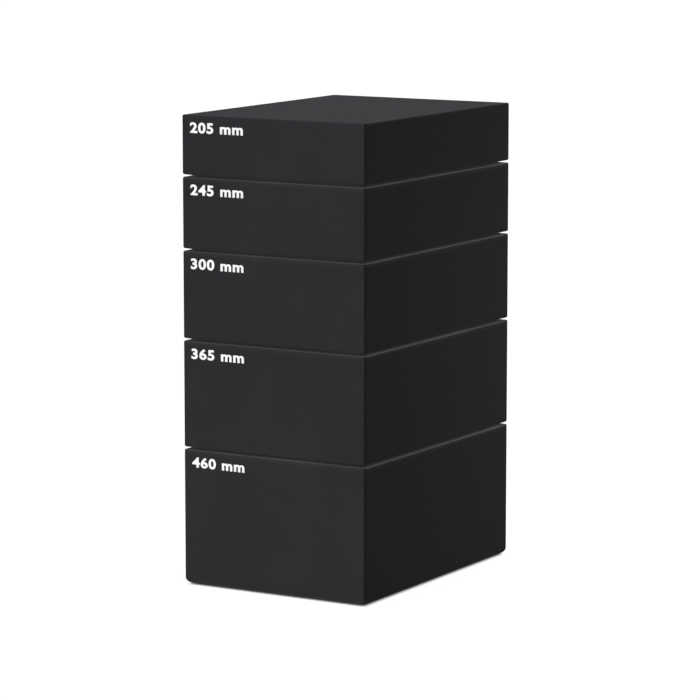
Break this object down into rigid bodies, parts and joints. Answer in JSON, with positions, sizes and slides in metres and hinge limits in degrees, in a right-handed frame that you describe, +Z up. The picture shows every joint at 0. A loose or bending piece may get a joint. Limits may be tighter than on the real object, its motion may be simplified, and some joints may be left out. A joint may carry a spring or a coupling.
{
  "type": "plyo block stack",
  "caption": "Stack of soft foam plyometric jump blocks of graded height, each a laminated foam core in a black vinyl cover with a rear zip; blocks lift apart to set the jump height.",
  "frame": {"origin": "middle of the stack's floor face", "axes": "+Z up the stack, -Y towards the numbered front, +Y towards the zips, +X along the short side"},
  "size_m": [0.7, 0.9866, 1.575],
  "materials": {
    "vinyl": "matte black PVC-coated fabric, fine grain",
    "tread": "matte black non-slip sheet",
    "core_foam": "firm closed-cell foam",
    "pad_foam": "softer foam sheet",
    "zip_tape": "woven black tape",
    "zip_coil": "black nylon",
    "zip_metal": "black lacquer",
    "zip_grip": "moulded black"
  },
  "bodies": {
    "bottom_block": {"bottom_block_landing_panel": "vinyl", "bottom_block_front_panel": "vinyl", "bottom_block_back_panel": "vinyl", "bottom_block_left_panel": "vinyl", "bottom_block_right_panel": "vinyl", "bottom_block_floor_panel": "tread", "bottom_block_foam_slabs": "core_foam", "bottom_block_impact_pad": "pad_foam", "bottom_block_zip_tapes": "zip_tape", "bottom_block_zip_coils": "zip_coil"},
    "bottom_block_zip_slider": {"bottom_block_zip_slider": "zip_metal"},
    "bottom_block_zip_pull": {"bottom_block_zip_pull": "zip_grip"},
    "lower_block": {"lower_block_landing_panel": "vinyl", "lower_block_front_panel": "vinyl", "lower_block_back_panel": "vinyl", "lower_block_left_panel": "vinyl", "lower_block_right_panel": "vinyl", "lower_block_floor_panel": "tread", "lower_block_foam_slabs": "core_foam", "lower_block_impact_pad": "pad_foam", "lower_block_zip_tapes": "zip_tape", "lower_block_zip_coils": "zip_coil"},
    "lower_block_zip_slider": {"lower_block_zip_slider": "zip_metal"},
    "lower_block_zip_pull": {"lower_block_zip_pull": "zip_grip"},
    "middle_block": {"middle_block_landing_panel": "vinyl", "middle_block_front_panel": "vinyl", "middle_block_back_panel": "vinyl", "middle_block_left_panel": "vinyl", "middle_block_right_panel": "vinyl", "middle_block_floor_panel": "tread", "middle_block_foam_slabs": "core_foam", "middle_block_impact_pad": "pad_foam", "middle_block_zip_tapes": "zip_tape", "middle_block_zip_coils": "zip_coil"},
    "middle_block_zip_slider": {"middle_block_zip_slider": "zip_metal"},
    "middle_block_zip_pull": {"middle_block_zip_pull": "zip_grip"},
    "upper_block": {"upper_block_landing_panel": "vinyl", "upper_block_front_panel": "vinyl", "upper_block_back_panel": "vinyl", "upper_block_left_panel": "vinyl", "upper_block_right_panel": "vinyl", "upper_block_floor_panel": "tread", "upper_block_foam_slabs": "core_foam", "upper_block_impact_pad": "pad_foam", "upper_block_zip_tapes": "zip_tape", "upper_block_zip_coils": "zip_coil"},
    "upper_block_zip_slider": {"upper_block_zip_slider": "zip_metal"},
    "upper_block_zip_pull": {"upper_block_zip_pull": "zip_grip"},
    "top_block": {"top_block_landing_panel": "vinyl", "top_block_front_panel": "vinyl", "top_block_back_panel": "vinyl", "top_block_left_panel": "vinyl", "top_block_right_panel": "vinyl", "top_block_floor_panel": "tread", "top_block_foam_slabs": "core_foam", "top_block_impact_pad": "pad_foam", "top_block_zip_tapes": "zip_tape", "top_block_zip_coils": "zip_coil"},
    "top_block_zip_slider": {"top_block_zip_slider": "zip_metal"},
    "top_block_zip_pull": {"top_block_zip_pull": "zip_grip"}
  },
  "joints": [
    {"name": "bottom_block_zip_slide", "type": "slide", "parent": "bottom_block", "child": "bottom_block_zip_slider", "axis": [-1, 0, 0], "range_m": [0, 0.5692]},
    {"name": "bottom_block_zip_pull_swing", "type": "hinge", "parent": "bottom_block_zip_slider", "child": "bottom_block_zip_pull", "pos_m": [0.2846, 0.4938, 0.06], "axis": [0, 0, -1], "range_deg": [0, 175]},
    {"name": "lower_block_lift", "type": "slide", "parent": "bottom_block", "child": "lower_block", "axis": [0, 0, 1], "range_m": [0, 0.3]},
    {"name": "lower_block_zip_slide", "type": "slide", "parent": "lower_block", "child": "lower_block_zip_slider", "axis": [-1, 0, 0], "range_m": [0, 0.5692]},
    {"name": "lower_block_zip_pull_swing", "type": "hinge", "parent": "lower_block_zip_slider", "child": "lower_block_zip_pull", "pos_m": [0.2846, 0.4938, 0.52], "axis": [0, 0, -1], "range_deg": [0, 175]},
    {"name": "middle_block_lift", "type": "slide", "parent": "lower_block", "child": "middle_block", "axis": [0, 0, 1], "range_m": [0, 0.3]},
    {"name": "middle_block_zip_slide", "type": "slide", "parent": "middle_block", "child": "middle_block_zip_slider", "axis": [-1, 0, 0], "range_m": [0, 0.5692]},
    {"name": "middle_block_zip_pull_swing", "type": "hinge", "parent": "middle_block_zip_slider", "child": "middle_block_zip_pull", "pos_m": [0.2846, 0.4938, 0.885], "axis": [0, 0, -1], "range_deg": [0, 175]},
    {"name": "upper_block_lift", "type": "slide", "parent": "middle_block", "child": "upper_block", "axis": [0, 0, 1], "range_m": [0, 0.3]},
    {"name": "upper_block_zip_slide", "type": "slide", "parent": "upper_block", "child": "upper_block_zip_slider", "axis": [-1, 0, 0], "range_m": [0, 0.5692]},
    {"name": "upper_block_zip_pull_swing", "type": "hinge", "parent": "upper_block_zip_slider", "child": "upper_block_zip_pull", "pos_m": [0.2846, 0.4938, 1.185], "axis": [0, 0, -1], "range_deg": [0, 175]},
    {"name": "top_block_lift", "type": "slide", "parent": "upper_block", "child": "top_block", "axis": [0, 0, 1], "range_m": [0, 0.3]},
    {"name": "top_block_zip_slide", "type": "slide", "parent": "top_block", "child": "top_block_zip_slider", "axis": [-1, 0, 0], "range_m": [0, 0.5692]},
    {"name": "top_block_zip_pull_swing", "type": "hinge", "parent": "top_block_zip_slider", "child": "top_block_zip_pull", "pos_m": [0.2846, 0.4938, 1.43], "axis": [0, 0, -1], "range_deg": [0, 175]}
  ]
}
